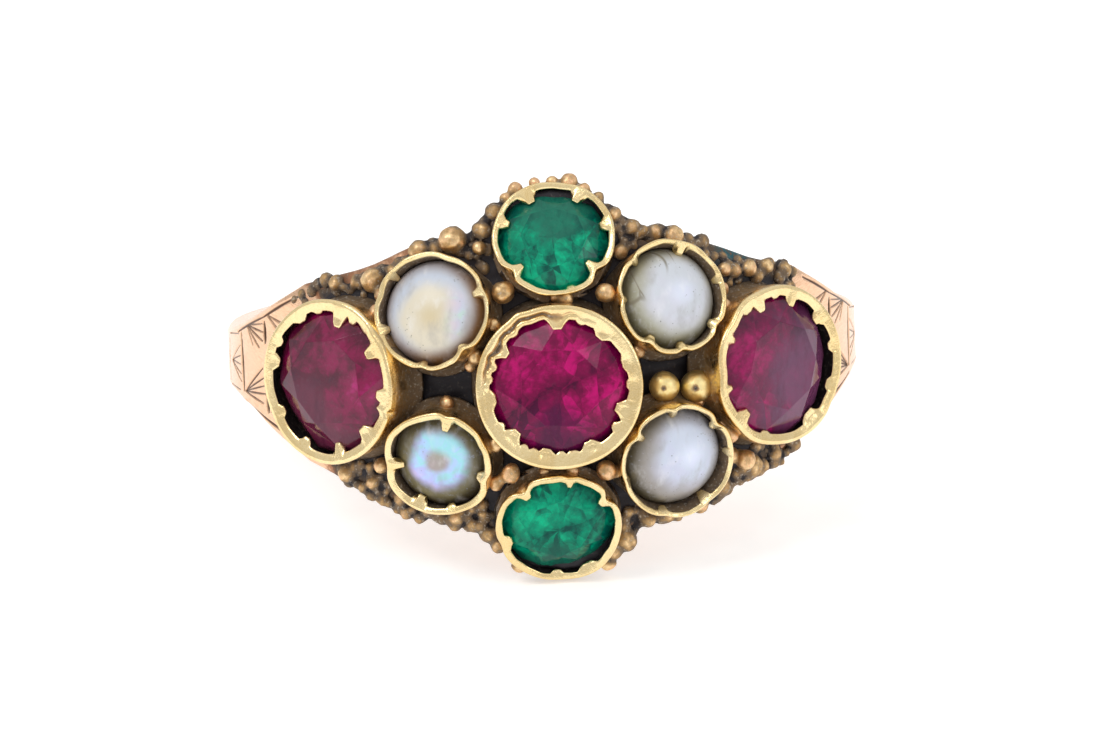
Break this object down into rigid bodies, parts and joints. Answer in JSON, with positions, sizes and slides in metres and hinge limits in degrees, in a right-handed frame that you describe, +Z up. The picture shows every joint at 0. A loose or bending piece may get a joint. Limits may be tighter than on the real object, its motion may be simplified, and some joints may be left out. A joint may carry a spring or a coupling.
{
  "type": "mourning ring",
  "caption": "Gold cluster ring with a domed lozenge head of scalloped collets holding red and green cut stones and half pearls, edged with grains, on a tapered hoop.",
  "frame": {"origin": "on the surface the ring lies on, under the middle of its bounding box", "axes": "+Z up, the head faces -Y and leans up, +X to the right of a viewer who faces the head"},
  "size_m": [0.019, 0.0205, 0.0119],
  "materials": {
    "yellow_gold": "worn polish",
    "rose_gold": "worn polish with bright-cut engraving",
    "tarnished_gold": "dark tarnish",
    "ruby": "faceted, polished",
    "emerald": "faceted, polished",
    "pearl": "nacre"
  },
  "bodies": {
    "root": {"ring_mount": "yellow_gold", "ruby_centre": "ruby", "ruby_left": "ruby", "ruby_right": "ruby", "emerald_top": "emerald", "emerald_bottom": "emerald", "pearl_upper_left": "pearl", "pearl_upper_right": "pearl", "pearl_lower_left": "pearl", "pearl_lower_right": "pearl"}
  },
  "joints": []
}
